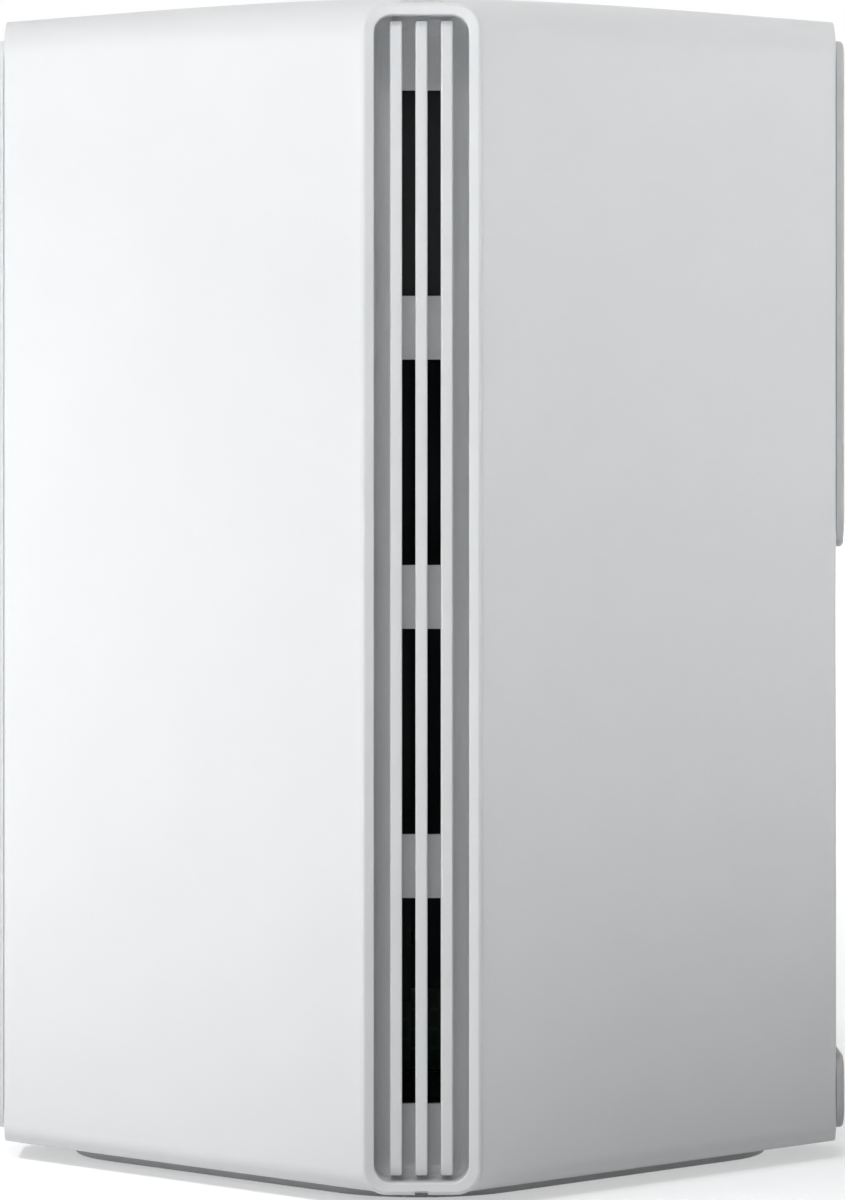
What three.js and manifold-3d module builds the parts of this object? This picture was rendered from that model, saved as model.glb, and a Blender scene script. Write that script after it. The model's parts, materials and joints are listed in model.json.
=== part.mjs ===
// Square tower wireless router, in millimetres, +Z up, standing on z = 0.
// The four vertical corners are cut by flats: vent grilles on +X and -X, the front strip on -Y
// and the socket panel between two rear strips on +Y. The origin is the centre of the foot.
import * as THREE from "three";
import { mergeVertices } from "three/addons/utils/BufferGeometryUtils.js";
import Module from "manifold-3d";

const wasm = await Module();
wasm.setup();

// ---- Driving dimensions ----
const HEIGHT = 178.5; // floor to the ridge of the roof
const PLAN_SIDE = 104.6; // across two opposite faces
const FLAT_WIDTH = 17.7; // width of each corner flat
const WALL = 2.4; // shell wall
const TOP_FILLET = 6; // between faces and roof
const BOTTOM_FILLET = 3; // under the faces
const EDGE_ROUND = 0.8; // vertical edges between faces and flats
const ROOF_DROP = 1.3; // how far the roof falls from its ridge to the vent flats
const FOOT_DROP = 2.45; // floor to the lower rim of the shell
const FOOT_SIDE = 87.5; // plinth under the base
const FOOT_CORNER = 18;
const PAD_MARGIN = 4; // plinth edge to rubber pad
const PAD_PROUD = 0.3; // pad below the plinth
const PAD_THICK = 1.4;
const BASE_THICK = 2.5; // plate that closes the shell
const PLINTH_EDGE = 0.4;
const HOOK_WIDTH = 12; // snap hooks of the base
const HOOK_HEIGHT = 6;
const HOOK_THICK = 1.6;

const SEAM = 0.2; // strip flange to shell flat
const FIT = 0.3; // clearance round everything that passes through or sits in another piece
const SEAT = 0.1; // between two flat faces that are clamped together

const STRIP_PROUD = 1.3; // raised strips above the flats
const STRIP_CORNER = 3.8;
const STRIP_EDGE = 0.6; // rounding of the raised rim
const STRIP_SEAT = 1.2; // flange beyond the plug that enters the shell
const STRIP_SKIN = 1.8; // face of a strip
const PLUG_DEPTH = 6; // plug behind the flat
const PLUG_WALL = 1.4;
const VENT_FOOT = -0.15; // lower rim of the shell to the vent frame, which hangs past it
const VENT_HEAD = 0.6; // roof at the vent flat to the vent frame
const STRIP_FOOT = 2.15; // lower rim of the shell to the front and rear strips
const STRIP_HEAD = 3.3; // ridge to the front and rear strips

const TROUGH_WIDTH = 13.9; // mouth of the vent trough
const TROUGH_DEPTH = 8.8; // frame face to trough floor
const TROUGH_ROUND = 2.6; // mouth corners and floor coves
const TROUGH_WALL = 0.7;
const TROUGH_FLOOR = 1;
const TROUGH_END = 1.75; // frame end to trough mouth
const LIP = 0.35; // rounded mouth edge
const RIM_DISH = 0.3; // fall of the rim's face from its outer edge to the mouth
const FIN_COUNT = 3;
const FIN_THICK = 1.75;
const FIN_PITCH = 3.72;
const FIN_RECESS = 1.5; // fin fronts behind the frame face
const FIN_END_GAP = 0.8; // trough end to fin tip
const FIN_END_ROUND = 2;
const WINDOW_COUNT = 4;
const WINDOW_BRIDGE = 9.4; // between windows
const WINDOW_END = 10.6; // trough end to first window
const NOTCH_WIDTH = 1.9; // release notch under each vent frame
const NOTCH_HEIGHT = 0.65;

const LOWER_STRIP_HEIGHT = 11.7; // rear strip under the sockets
const PANEL_RECESS = 1.5; // socket panel behind the flat
const PANEL_THICK = 1.8;
const PORT_MARGIN = 2.15; // ends of the port zone to the power inlet and to the reset switch
const PORT_GAP = 1.2; // between neighbouring socket bodies
const JACK_COUNT = 3;
const JACK_WIDTH = 16; // along Z
const JACK_HEIGHT = 13.4; // along X, off the board
const JACK_DEPTH = 21.3;
const JACK_SHEET = 0.5;
const PLUG_ROOM_WIDTH = 11.8; // room for a network plug
const PLUG_ROOM_HEIGHT = 8.4;
const PLUG_ROOM_DEPTH = 14;
const LATCH_WIDTH = 4.4;
const LATCH_HEIGHT = 1.8;
const INLET_WIDTH = 9;
const INLET_HEIGHT = 12.4;
const INLET_DEPTH = 14;
const INLET_BORE = 6.4;
const INLET_BORE_DEPTH = 10;
const INLET_MOUTH = 8.6;
const INLET_PIN = 2;
const BUTTON_CAP = 6;
const BUTTON_FLANGE = 7.8;
const BUTTON_STEM = 3;
const BUTTON_FLANGE_THICK = 1.2;
const BUTTON_PROUD = 0.5; // cap beyond the panel face
const SWITCH_SIZE = 6;
const SWITCH_DEPTH = 4;
const ACTUATOR_DEPTH = 2.2;
const RESET_HOLE = 1.8;
const RESET_SIZE = 4.4;
const RESET_ACTUATOR = 2;
const SENSOR_GAP = 1.2; // reset actuator behind the panel

const BOARD_THICK = 1.6;
const BOARD_SIDE_GAP = 3.5; // board edge to the frame plates
const CHIP_SIZE = 19;
const CHIP_THICK = 1.7;
const PAD_GAP = 1; // thermal pad thickness
const SINK_BASE = 2.5;
const SINK_REACH = 21; // fin tips beyond the base
const SINK_FINS = 9;
const SINK_FIN = 1.5;
const SINK_CLEAR = 3; // heat sink to a tab; twice that to a socket
const SINK_SCREW_END = 8; // heat sink end to its screw
const SINK_THREAD = 4; // screw length in a heat sink
const RADIO_PAD_MARGIN = 6; // can edge to its thermal pad
const CAN_DEPTH = 2.5;
const CAN_SHEET = 0.4;
const FRAME_PLATE = 2.5;
const FRAME_MARGIN = 6; // faces to frame plates
const FRAME_CORNER = 11; // flats to frame plates
const SCREEN_WIDTH = 14; // frame tongue that hangs behind the uppermost window of each vent
const SCREEN_THICK = 1.5;
const SCREEN_LAP = 3; // tongue past the window's lower edge
const PILLAR_WIDTH = 9;
const PILLAR_DEPTH = 4.5;
const BOSS_HEIGHT = 4.2;
const BOSS_DIAMETER = 7.5;
const PILOT_SKIN = 0.8; // plate left above a boss's pilot hole
const OPENING_IN = 7; // frame plate openings, from the axis
const OPENING_OUT = 27.3;
const OPENING_CORNER = 3;
const AERIAL_WIDTH = 16;
const AERIAL_HEIGHT = 50;
const AERIAL_THICK = 0.8;
const LEAD_DIAMETER = 1.4;
const LEAD_CLEAR = 5; // board edge to where a lead meets the board
const LEAD_FALL = 3; // one step down of an aerial's lead
const LENS_DIAMETER = 3;
const LENS_HEIGHT = 30; // floor to the status light
const LENS_SETBACK = 1.2; // light board to the light guide
const LENS_FLANGE = 1.2;
const LAMP_SIZE = 3;
const LAMP_THICK = 0.8;
const LIGHT_BOARD = 14;

const SCREW_HEAD = 5;
const SCREW_HEAD_HEIGHT = 1.7;
const SCREW_SHANK = 2.6;
const SCREW_LENGTH = 7;
const SCREW_CROWN = 0.7; // flat top of a screw head, as a share of its radius

// ---- Places that follow from them ----
const HALF_DIAGONAL = PLAN_SIDE / Math.SQRT2;
const FLAT = HALF_DIAGONAL - FLAT_WIDTH / 2; // axis to each corner flat
const FACE = FLAT + STRIP_PROUD; // axis to the face of each raised strip
const VENT_LOW = FOOT_DROP + VENT_FOOT;
const VENT_HIGH = HEIGHT - ROOF_DROP - VENT_HEAD;
const STRIP_LOW = FOOT_DROP + STRIP_FOOT;
const STRIP_HIGH = HEIGHT - STRIP_HEAD;
const PORT_LOW = STRIP_LOW + LOWER_STRIP_HEIGHT;
const PORT_ZONE = 2 * PORT_MARGIN + INLET_WIDTH + JACK_COUNT * (PORT_GAP + JACK_WIDTH)
  + 3 * PORT_GAP + SWITCH_SIZE + PORT_GAP / 2 + RESET_SIZE; // bare flat between the rear strips
const PORT_HIGH = PORT_LOW + PORT_ZONE;
const PLUG_WIDTH = FLAT_WIDTH - 2 * STRIP_SEAT;
const PANEL_FACE = FLAT - PANEL_RECESS;
const PANEL_BACK = PANEL_FACE - PANEL_THICK;
const SOCKET_FRONT = PANEL_BACK - FIT;
const BOARD_FACE = -JACK_HEIGHT / 2 - FIT; // the side of the board that carries the sockets
const BOARD_BACK = BOARD_FACE - BOARD_THICK;
const BASE_LOW = FOOT_DROP + FIT;
const BASE_HIGH = BASE_LOW + BASE_THICK;
const PLATE_LOW = BASE_HIGH + BOSS_HEIGHT;
const PLATE_TOP = HEIGHT - WALL - ROOF_DROP - 4 * FIT - FRAME_PLATE;
const BOARD_LOW = PLATE_LOW + FRAME_PLATE + FIT;
const BOARD_HIGH = PLATE_TOP - FIT;

// ---- Finishes ----
const finish = (color, roughness, metalness = 0) => ({ color, roughness, metalness });
const WHITE = finish("#eceded", 0.45);
const GREY = finish("#c9cbcc", 0.6);
const BLACK = finish("#17181a", 0.6);
const RUBBER = finish("#b9bbbc", 0.9);
const GREEN = finish("#1f4a33", 0.5);
const TIN = finish("#b9bcc0", 0.35, 1);
const ALUMINIUM = finish("#2b2d30", 0.5, 1);
const CLEAR = finish("#eef4f6", 0.15);
const SILICONE = finish("#8d98a5", 0.85);
const RESIN = finish("#f2f0d8", 0.4);

// ---- Solids: three.js geometry joined and cut as manifold-3d solids ----
const group = new THREE.Group();
const up = new THREE.Matrix4();
const alongX = new THREE.Matrix4().makeBasis(
  new THREE.Vector3(0, 1, 0),
  new THREE.Vector3(0, 0, 1),
  new THREE.Vector3(1, 0, 0),
);
const alongY = new THREE.Matrix4().makeBasis(
  new THREE.Vector3(0, 0, 1),
  new THREE.Vector3(1, 0, 0),
  new THREE.Vector3(0, 1, 0),
);
const quarter = (turns) => {
  const [c, s] = [[1, 0], [0, 1], [-1, 0], [0, -1]][turns % 4];
  return new THREE.Matrix4().set(c, -s, 0, 0, s, c, 0, 0, 0, 0, 1, 0, 0, 0, 0, 1);
};
const eighth = (turns) => new THREE.Matrix4().makeRotationZ((turns * Math.PI) / 4);

function solid(geometry, matrix = up) {
  const bare = geometry.clone().applyMatrix4(matrix);
  bare.deleteAttribute("normal");
  bare.deleteAttribute("uv");
  const merged = mergeVertices(bare, 1e-4);
  return new wasm.Manifold(
    new wasm.Mesh({
      numProp: 3,
      vertProperties: merged.attributes.position.array,
      triVerts: new Uint32Array(merged.index.array),
    }),
  );
}

function add(name, made, look, matrix = up) {
  const { vertProperties, triVerts } = made.getMesh();
  const geometry = new THREE.BufferGeometry()
    .setAttribute("position", new THREE.BufferAttribute(vertProperties, 3))
    .setIndex(new THREE.BufferAttribute(triVerts, 1))
    .applyMatrix4(matrix);
  geometry.computeVertexNormals();
  const mesh = new THREE.Mesh(geometry, new THREE.MeshStandardMaterial(look));
  mesh.name = name;
  group.add(mesh);
}

// A box between two opposite corners.
function block([x0, y0, z0], [x1, y1, z1]) {
  const box = new THREE.BoxGeometry(x1 - x0, y1 - y0, z1 - z0);
  return solid(box.translate((x0 + x1) / 2, (y0 + y1) / 2, (z0 + z1) / 2));
}

// A round bar between two places on an axis: its matrix lays local Z on that axis.
function rod(diameter, from, to, matrix, u = 0, v = 0, sides = 16) {
  const bar = new THREE.CylinderGeometry(diameter / 2, diameter / 2, to - from, sides);
  bar.rotateX(Math.PI / 2).translate(u, v, (from + to) / 2);
  return solid(bar, matrix);
}

function roundedRectangle(u0, u1, v0, v1, radius) {
  const shape = new THREE.Shape();
  shape.absarc(u1 - radius, v0 + radius, radius, -Math.PI / 2, 0);
  shape.absarc(u1 - radius, v1 - radius, radius, 0, Math.PI / 2);
  shape.absarc(u0 + radius, v1 - radius, radius, Math.PI / 2, Math.PI);
  shape.absarc(u0 + radius, v0 + radius, radius, Math.PI, 1.5 * Math.PI);
  return shape;
}

// A flat outline carried from one place to another along the matrix's local Z, its ends rounded.
function prism(shape, from, to, matrix = up, edge = 0, curveSegments = 4) {
  const geometry = new THREE.ExtrudeGeometry(shape, {
    depth: to - from - 2 * edge,
    curveSegments,
    bevelEnabled: edge > 0,
    bevelThickness: edge,
    bevelSize: edge,
    bevelOffset: -edge,
    bevelSegments: 2,
  });
  return solid(geometry.translate(0, 0, from + edge), matrix);
}

// ---- Shell ----
// The square plan with its corners cut by flats; its eight corners are softened unless round is 0.
function planOutline(inset, flat = FLAT - inset, round = EDGE_ROUND) {
  const diagonal = (PLAN_SIDE / 2 - inset) * Math.SQRT2;
  const corners = [];
  for (let k = 0; k < 4; k++) {
    const turn = (k * Math.PI) / 2;
    for (const across of [flat - diagonal, diagonal - flat])
      corners.push(new THREE.Vector2(flat, across).rotateAround(new THREE.Vector2(), turn));
  }
  if (round === 0) return new THREE.Shape(corners);
  const shape = new THREE.Shape();
  const cut = round * Math.tan(Math.PI / 8);
  corners.forEach((corner, i) => {
    const before = corners[(i + 7) % 8].clone().sub(corner).setLength(cut).add(corner);
    const after = corners[(i + 1) % 8].clone().sub(corner).setLength(cut).add(corner);
    if (i === 0) shape.moveTo(before.x, before.y);
    else shape.lineTo(before.x, before.y);
    shape.quadraticCurveTo(corner.x, corner.y, after.x, after.y);
  });
  shape.closePath();
  return shape;
}

// Everything under the roof, whose height falls with the fourth power of the way to a vent flat.
function underRoof(inset, floor) {
  const steps = 24;
  const reach = HALF_DIAGONAL + 1;
  const shape = new THREE.Shape().moveTo(floor, -reach).lineTo(floor, reach);
  for (let i = 0; i <= steps; i++) {
    const x = reach * (1 - (2 * i) / steps);
    shape.lineTo(HEIGHT - inset - ROOF_DROP * (x / FLAT) ** 4, x);
  }
  return prism(shape, -PLAN_SIDE, PLAN_SIDE, alongY);
}

// The housing's form: two crossed bars with rounded top edges, trimmed by the plan and the roof.
function housing(inset, floor, bottomRadius) {
  const half = PLAN_SIDE / 2 - inset;
  const top = HEIGHT - inset;
  const radius = TOP_FILLET - inset;
  const shape = new THREE.Shape();
  if (bottomRadius) {
    shape.absarc(floor + bottomRadius, half - bottomRadius, bottomRadius, Math.PI, Math.PI / 2, true);
  } else shape.moveTo(floor, half).lineTo(top - radius, half);
  shape.absarc(top - radius, half - radius, radius, Math.PI / 2, 0, true);
  shape.absarc(top - radius, radius - half, radius, 0, -Math.PI / 2, true);
  if (bottomRadius) {
    shape.absarc(floor + bottomRadius, bottomRadius - half, bottomRadius, -Math.PI / 2, -Math.PI, true);
  } else shape.lineTo(floor, -half);
  const bar = (turn) => prism(shape, -PLAN_SIDE, PLAN_SIDE, eighth(turn).multiply(alongY), 0, 6);
  return bar(1)
    .intersect(bar(-1))
    .intersect(prism(planOutline(inset, FLAT - inset, inset ? 0 : EDGE_ROUND), floor - 1, HEIGHT + 1))
    .intersect(underRoof(inset, floor - 1));
}

// The opening in a corner flat, on +X, that a trough or a plug passes through.
function cornerSlot(low, high, width, corner) {
  const outline = roundedRectangle(
    -width / 2 - FIT, width / 2 + FIT, low - FIT, high + FIT, corner + FIT);
  return prism(outline, FLAT - TROUGH_DEPTH - WALL, FACE, alongX);
}

const TROUGH_LOW = VENT_LOW + TROUGH_END;
const TROUGH_HIGH = VENT_HIGH - TROUGH_END;
const WINDOW_HEIGHT = (TROUGH_HIGH - TROUGH_LOW - 2 * WINDOW_END
  - (WINDOW_COUNT - 1) * WINDOW_BRIDGE) / WINDOW_COUNT;
const PLUG_LOW = STRIP_LOW + STRIP_SEAT;
const PLUG_HIGH = STRIP_HIGH - STRIP_SEAT;

function outerShell() {
  const ventSlot = cornerSlot(
    TROUGH_LOW - TROUGH_WALL, TROUGH_HIGH + TROUGH_WALL,
    TROUGH_WIDTH + 2 * TROUGH_WALL, TROUGH_ROUND + TROUGH_WALL);
  const stripSlot = cornerSlot(PLUG_LOW, PLUG_HIGH, PLUG_WIDTH, STRIP_CORNER - STRIP_SEAT);
  let shell = housing(0, FOOT_DROP, BOTTOM_FILLET).subtract(housing(WALL, -WALL, 0));
  for (const k of [0, 2]) {
    shell = shell.subtract(turned(ventSlot, quarter(k)));
    shell = shell.subtract(turned(stripSlot, quarter(k + 1)));
  }
  add("outer_shell", shell, WHITE);
}

function turned(made, matrix) {
  return made.transform([...matrix.elements]);
}

// ---- Vent grilles ----
// A raised rim on the +X flat, with its outer edge rounded and its back cut square.
function flange(low, high) {
  const half = FLAT_WIDTH / 2;
  const outline = roundedRectangle(-half, half, low, high, STRIP_CORNER);
  const plate = prism(outline, FLAT - WALL, FACE, alongX, STRIP_EDGE);
  const behind = block(
    [FLAT - 2 * WALL, -PLAN_SIDE, -PLAN_SIDE], [FLAT + SEAM, PLAN_SIDE, 2 * HEIGHT]);
  return plate.subtract(behind);
}

// The hollow of the trough: mouth outline, coved floor along its sides and coved floor at its ends.
function troughHollow() {
  const half = TROUGH_WIDTH / 2;
  const floor = FACE - TROUGH_DEPTH;
  const front = FACE + TROUGH_ROUND + 1;
  const mouth = roundedRectangle(-half, half, TROUGH_LOW, TROUGH_HIGH, TROUGH_ROUND);
  const across = roundedRectangle(floor, front, -half, half, TROUGH_ROUND);
  const along = roundedRectangle(TROUGH_LOW, TROUGH_HIGH, floor, front, TROUGH_ROUND);
  const widening = (thickness, size, segments) => new THREE.ExtrudeGeometry(mouth, {
    depth: 1, curveSegments: 4, bevelThickness: thickness, bevelSize: size, bevelSegments: segments,
  });
  const lip = widening(LIP, LIP, 2).translate(0, 0, FACE - RIM_DISH);
  const dish = widening(RIM_DISH, (FLAT_WIDTH - TROUGH_WIDTH) / 2 - STRIP_EDGE, 1).translate(0, 0, FACE);
  return prism(mouth, floor, front, alongX)
    .intersect(prism(across, VENT_LOW, VENT_HIGH))
    .intersect(prism(along, -half - 1, half + 1, alongY))
    .add(solid(lip, alongX))
    .add(solid(dish, alongX));
}

function ventGrille() {
  const half = TROUGH_WIDTH / 2 + TROUGH_WALL;
  const floor = FACE - TROUGH_DEPTH;
  const envelope = roundedRectangle(
    -half, half, TROUGH_LOW - TROUGH_WALL, TROUGH_HIGH + TROUGH_WALL, TROUGH_ROUND + TROUGH_WALL);
  let grille = prism(envelope, floor - TROUGH_FLOOR, FLAT + SEAM + STRIP_EDGE, alongX, STRIP_EDGE)
    .add(flange(VENT_LOW, VENT_HIGH))
    .subtract(troughHollow());

  const finTip = roundedRectangle(
    TROUGH_LOW + FIN_END_GAP, TROUGH_HIGH - FIN_END_GAP,
    floor - TROUGH_FLOOR / 2, FACE - FIN_RECESS, FIN_END_ROUND);
  const windows = FIN_PITCH - FIN_THICK / 2;
  for (let i = 0; i < WINDOW_COUNT; i++) {
    const low = TROUGH_LOW + WINDOW_END + i * (WINDOW_HEIGHT + WINDOW_BRIDGE);
    grille = grille.subtract(
      block([floor - 2 * TROUGH_FLOOR, -windows, low], [floor + LIP, windows, low + WINDOW_HEIGHT]));
  }
  for (let i = 0; i < FIN_COUNT; i++) {
    const middle = (i - (FIN_COUNT - 1) / 2) * FIN_PITCH;
    let fin = prism(finTip, middle - FIN_THICK / 2, middle + FIN_THICK / 2, alongY);
    const back = block([0, -PLAN_SIDE, 0], [floor, PLAN_SIDE, HEIGHT]);
    fin = fin.subtract(back);
    grille = grille.add(fin);
  }
  const notch = block(
    [FLAT, -NOTCH_WIDTH / 2, 0], [FACE + 1, NOTCH_WIDTH / 2, VENT_LOW + NOTCH_HEIGHT]);
  return grille.subtract(notch);
}

// ---- Front and rear strips ----
// A raised face with a hollow plug behind it, on the +X flat.
function strip(low, high) {
  const half = PLUG_WIDTH / 2;
  const corner = STRIP_CORNER - STRIP_SEAT;
  const back = FLAT - PLUG_DEPTH;
  const plug = roundedRectangle(-half, half, low + STRIP_SEAT, high - STRIP_SEAT, corner);
  const inner = half - PLUG_WALL;
  const hollow = roundedRectangle(
    -inner, inner, low + STRIP_SEAT + PLUG_WALL, high - STRIP_SEAT - PLUG_WALL, corner - PLUG_WALL);
  return flange(low, high)
    .add(prism(plug, back, FLAT + SEAM + STRIP_EDGE, alongX))
    .subtract(prism(hollow, back - 1, FACE - STRIP_SKIN, alongX));
}

function frontStrip() {
  const toFront = quarter(3);
  const hole = rod(LENS_DIAMETER + 2 * FIT, FLAT - WALL, FACE + 1, alongX, 0, LENS_HEIGHT);
  add("front_strip", turned(strip(STRIP_LOW, STRIP_HIGH).subtract(hole), toFront), WHITE);

  const boardFront = FLAT - PLUG_DEPTH - FIT;
  const skinBack = FACE - STRIP_SKIN - FIT;
  const lens = rod(LENS_DIAMETER, boardFront + LENS_SETBACK, FACE - SEAM, alongX, 0, LENS_HEIGHT)
    .add(rod(2 * LENS_DIAMETER, skinBack - LENS_FLANGE, skinBack, alongX, 0, LENS_HEIGHT));
  add("status_light_guide", turned(lens, toFront), CLEAR);
  const half = LIGHT_BOARD / 2;
  add("light_board", turned(block(
    [boardFront - 1, -half, LENS_HEIGHT - half], [boardFront, half, LENS_HEIGHT + half]), toFront),
  GREEN);
  const lamp = LAMP_SIZE / 2;
  add("status_lamp", turned(block(
    [boardFront + SEAT, -lamp, LENS_HEIGHT - lamp],
    [boardFront + SEAT + LAMP_THICK, lamp, LENS_HEIGHT + lamp]), toFront), RESIN);
}

// ---- Rear sockets, on the +Y flat ----
const SOCKETS_LOW = PORT_LOW + PORT_MARGIN;
const INLET_Z = SOCKETS_LOW + INLET_WIDTH / 2;
const jackZ = (i) => SOCKETS_LOW + INLET_WIDTH + PORT_GAP + JACK_WIDTH / 2 + i * (JACK_WIDTH + PORT_GAP);
const BUTTON_Z = jackZ(JACK_COUNT - 1) + JACK_WIDTH / 2 + 3 * PORT_GAP + SWITCH_SIZE / 2;
const RESET_Z = BUTTON_Z + SWITCH_SIZE / 2 + PORT_GAP / 2 + RESET_SIZE / 2;
const BUTTON_FRONT = PANEL_BACK - FIT; // front of the cap's flange, behind the panel
const BUTTON_BACK = BUTTON_FRONT - BUTTON_FLANGE_THICK;
const SWITCH_FRONT = BUTTON_BACK - BUTTON_STEM - ACTUATOR_DEPTH / 2;

// The outline of a network socket's mouth: plug room with the latch step on the side away from the board.
function mouth(z, grow) {
  const x = PLUG_ROOM_HEIGHT / 2 + grow;
  const width = PLUG_ROOM_WIDTH / 2 + grow;
  const latch = LATCH_WIDTH / 2 + grow;
  return new THREE.Shape([
    new THREE.Vector2(z - width, -x),
    new THREE.Vector2(z + width, -x),
    new THREE.Vector2(z + width, x),
    new THREE.Vector2(z + latch, x),
    new THREE.Vector2(z + latch, x + LATCH_HEIGHT),
    new THREE.Vector2(z - latch, x + LATCH_HEIGHT),
    new THREE.Vector2(z - latch, x),
    new THREE.Vector2(z - width, x),
  ]);
}

function portPanel() {
  const half = PLUG_WIDTH / 2;
  const low = PORT_LOW - STRIP_SEAT + FIT;
  const high = PORT_HIGH + STRIP_SEAT - FIT;
  let panel = block([-half, PANEL_BACK, low], [half, PANEL_FACE, high]);
  for (let i = 0; i < JACK_COUNT; i++)
    panel = panel.subtract(prism(mouth(jackZ(i), FIT), PANEL_BACK - 1, PANEL_FACE + 1, alongY));
  const bore = (diameter, z) =>
    rod(diameter, PANEL_BACK - 1, PANEL_FACE + 1, alongY, z, 0);
  panel = panel
    .subtract(bore(INLET_MOUTH, INLET_Z))
    .subtract(bore(BUTTON_CAP + 2 * FIT, BUTTON_Z))
    .subtract(bore(RESET_HOLE, RESET_Z));
  add("port_panel", panel, GREY);
}

function networkJack(i) {
  const z = jackZ(i);
  const x = JACK_HEIGHT / 2;
  const half = JACK_WIDTH / 2;
  const back = SOCKET_FRONT - JACK_DEPTH;
  const sheet = JACK_SHEET;
  const shield = block([-x, back, z - half], [x, SOCKET_FRONT, z + half]).subtract(
    block([-x + sheet, back + sheet, z - half + sheet],
      [x - sheet, SOCKET_FRONT + 1, z + half - sheet]));
  add("lan_shield_" + (i + 1), shield, TIN);

  const gap = sheet + SEAT;
  const room = prism(mouth(z, 0), SOCKET_FRONT - PLUG_ROOM_DEPTH, SOCKET_FRONT + 1, alongY);
  const body = block([-x + gap, back + gap, z - half + gap],
    [x - gap, SOCKET_FRONT - FIT, z + half - gap]).subtract(room);
  add("lan_body_" + (i + 1), body, BLACK);
}

function powerInlet() {
  const half = INLET_WIDTH / 2;
  const back = SOCKET_FRONT - INLET_DEPTH;
  const bottom = BOARD_FACE + SEAT;
  const bore = rod(INLET_BORE, SOCKET_FRONT - INLET_BORE_DEPTH, SOCKET_FRONT + 1, alongY, INLET_Z, 0);
  const seat = rod(INLET_PIN + 2 * SEAT, back - 1, SOCKET_FRONT, alongY, INLET_Z, 0);
  const body = block([bottom, back, INLET_Z - half],
    [bottom + INLET_HEIGHT, SOCKET_FRONT, INLET_Z + half]).subtract(bore).subtract(seat);
  add("power_inlet", body, BLACK);
  add("power_inlet_pin",
    rod(INLET_PIN, back + SEAT, SOCKET_FRONT - 1, alongY, INLET_Z, 0, 12), TIN);
}

// A push switch standing on the board, with a recess for its actuator.
function pushSwitch(name, z, size, front, actuator) {
  const half = size / 2;
  const recess = rod(actuator + 2 * FIT, front - ACTUATOR_DEPTH, front + 1, alongY, z, 0);
  add(name, block([BOARD_FACE + SEAT, front - SWITCH_DEPTH, z - half], [half, front, z + half])
    .subtract(recess), BLACK);
}

function pairingButton() {
  pushSwitch("pairing_switch", BUTTON_Z, SWITCH_SIZE, SWITCH_FRONT, BUTTON_STEM);
  const stemBack = SWITCH_FRONT + ACTUATOR_DEPTH / 2;
  add("pairing_actuator",
    rod(BUTTON_STEM, SWITCH_FRONT - ACTUATOR_DEPTH / 2, stemBack - SEAT, alongY, BUTTON_Z, 0), BLACK);
  const cap = rod(BUTTON_CAP, BUTTON_FRONT - 0.1, PANEL_FACE + BUTTON_PROUD, alongY, BUTTON_Z, 0, 28)
    .add(rod(BUTTON_FLANGE, BUTTON_BACK, BUTTON_FRONT, alongY, BUTTON_Z, 0, 28))
    .add(rod(BUTTON_STEM, stemBack, BUTTON_BACK + 0.1, alongY, BUTTON_Z, 0));
  add("pairing_button", cap, WHITE);
}

function resetSwitch() {
  const tip = PANEL_BACK - SENSOR_GAP;
  const front = tip - ACTUATOR_DEPTH;
  pushSwitch("reset_switch", RESET_Z, RESET_SIZE, front, RESET_ACTUATOR);
  add("reset_actuator",
    rod(RESET_ACTUATOR, front - ACTUATOR_DEPTH / 2, tip, alongY, RESET_Z, 0, 16), RUBBER);
}

// ---- Frame that carries the boards ----
const PLATE_FLAT = FLAT - FRAME_CORNER;
const PILLAR_OUT = PLAN_SIDE / 2 - FRAME_MARGIN; // outer side of a pillar, from the axis
const BOSS_PLACE = PILLAR_OUT - 1.5 * BOSS_DIAMETER; // screw under the pad, from the axis
const TAB_DEPTH = 4;
const TAB_WIDTH = 9;
const TAB_HEIGHT = 11;
const BOARD_FRONT_Y = -(PLATE_FLAT - BOARD_SIDE_GAP);
const BOARD_REAR_Y = SOCKET_FRONT - BOARD_SIDE_GAP;
const TAB_Y = [BOARD_FRONT_Y + TAB_WIDTH / 2, PLATE_FLAT - 2 * TAB_WIDTH];

const onFace = (k) => eighth(2 * k + 1); // +X turned to look out of face k

function boardScrewPlaces() {
  const low = BOARD_LOW + TAB_HEIGHT / 2;
  const high = BOARD_HIGH - TAB_HEIGHT / 2;
  return TAB_Y.flatMap((y) => [low, high].map((z) => [y, z]));
}

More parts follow.
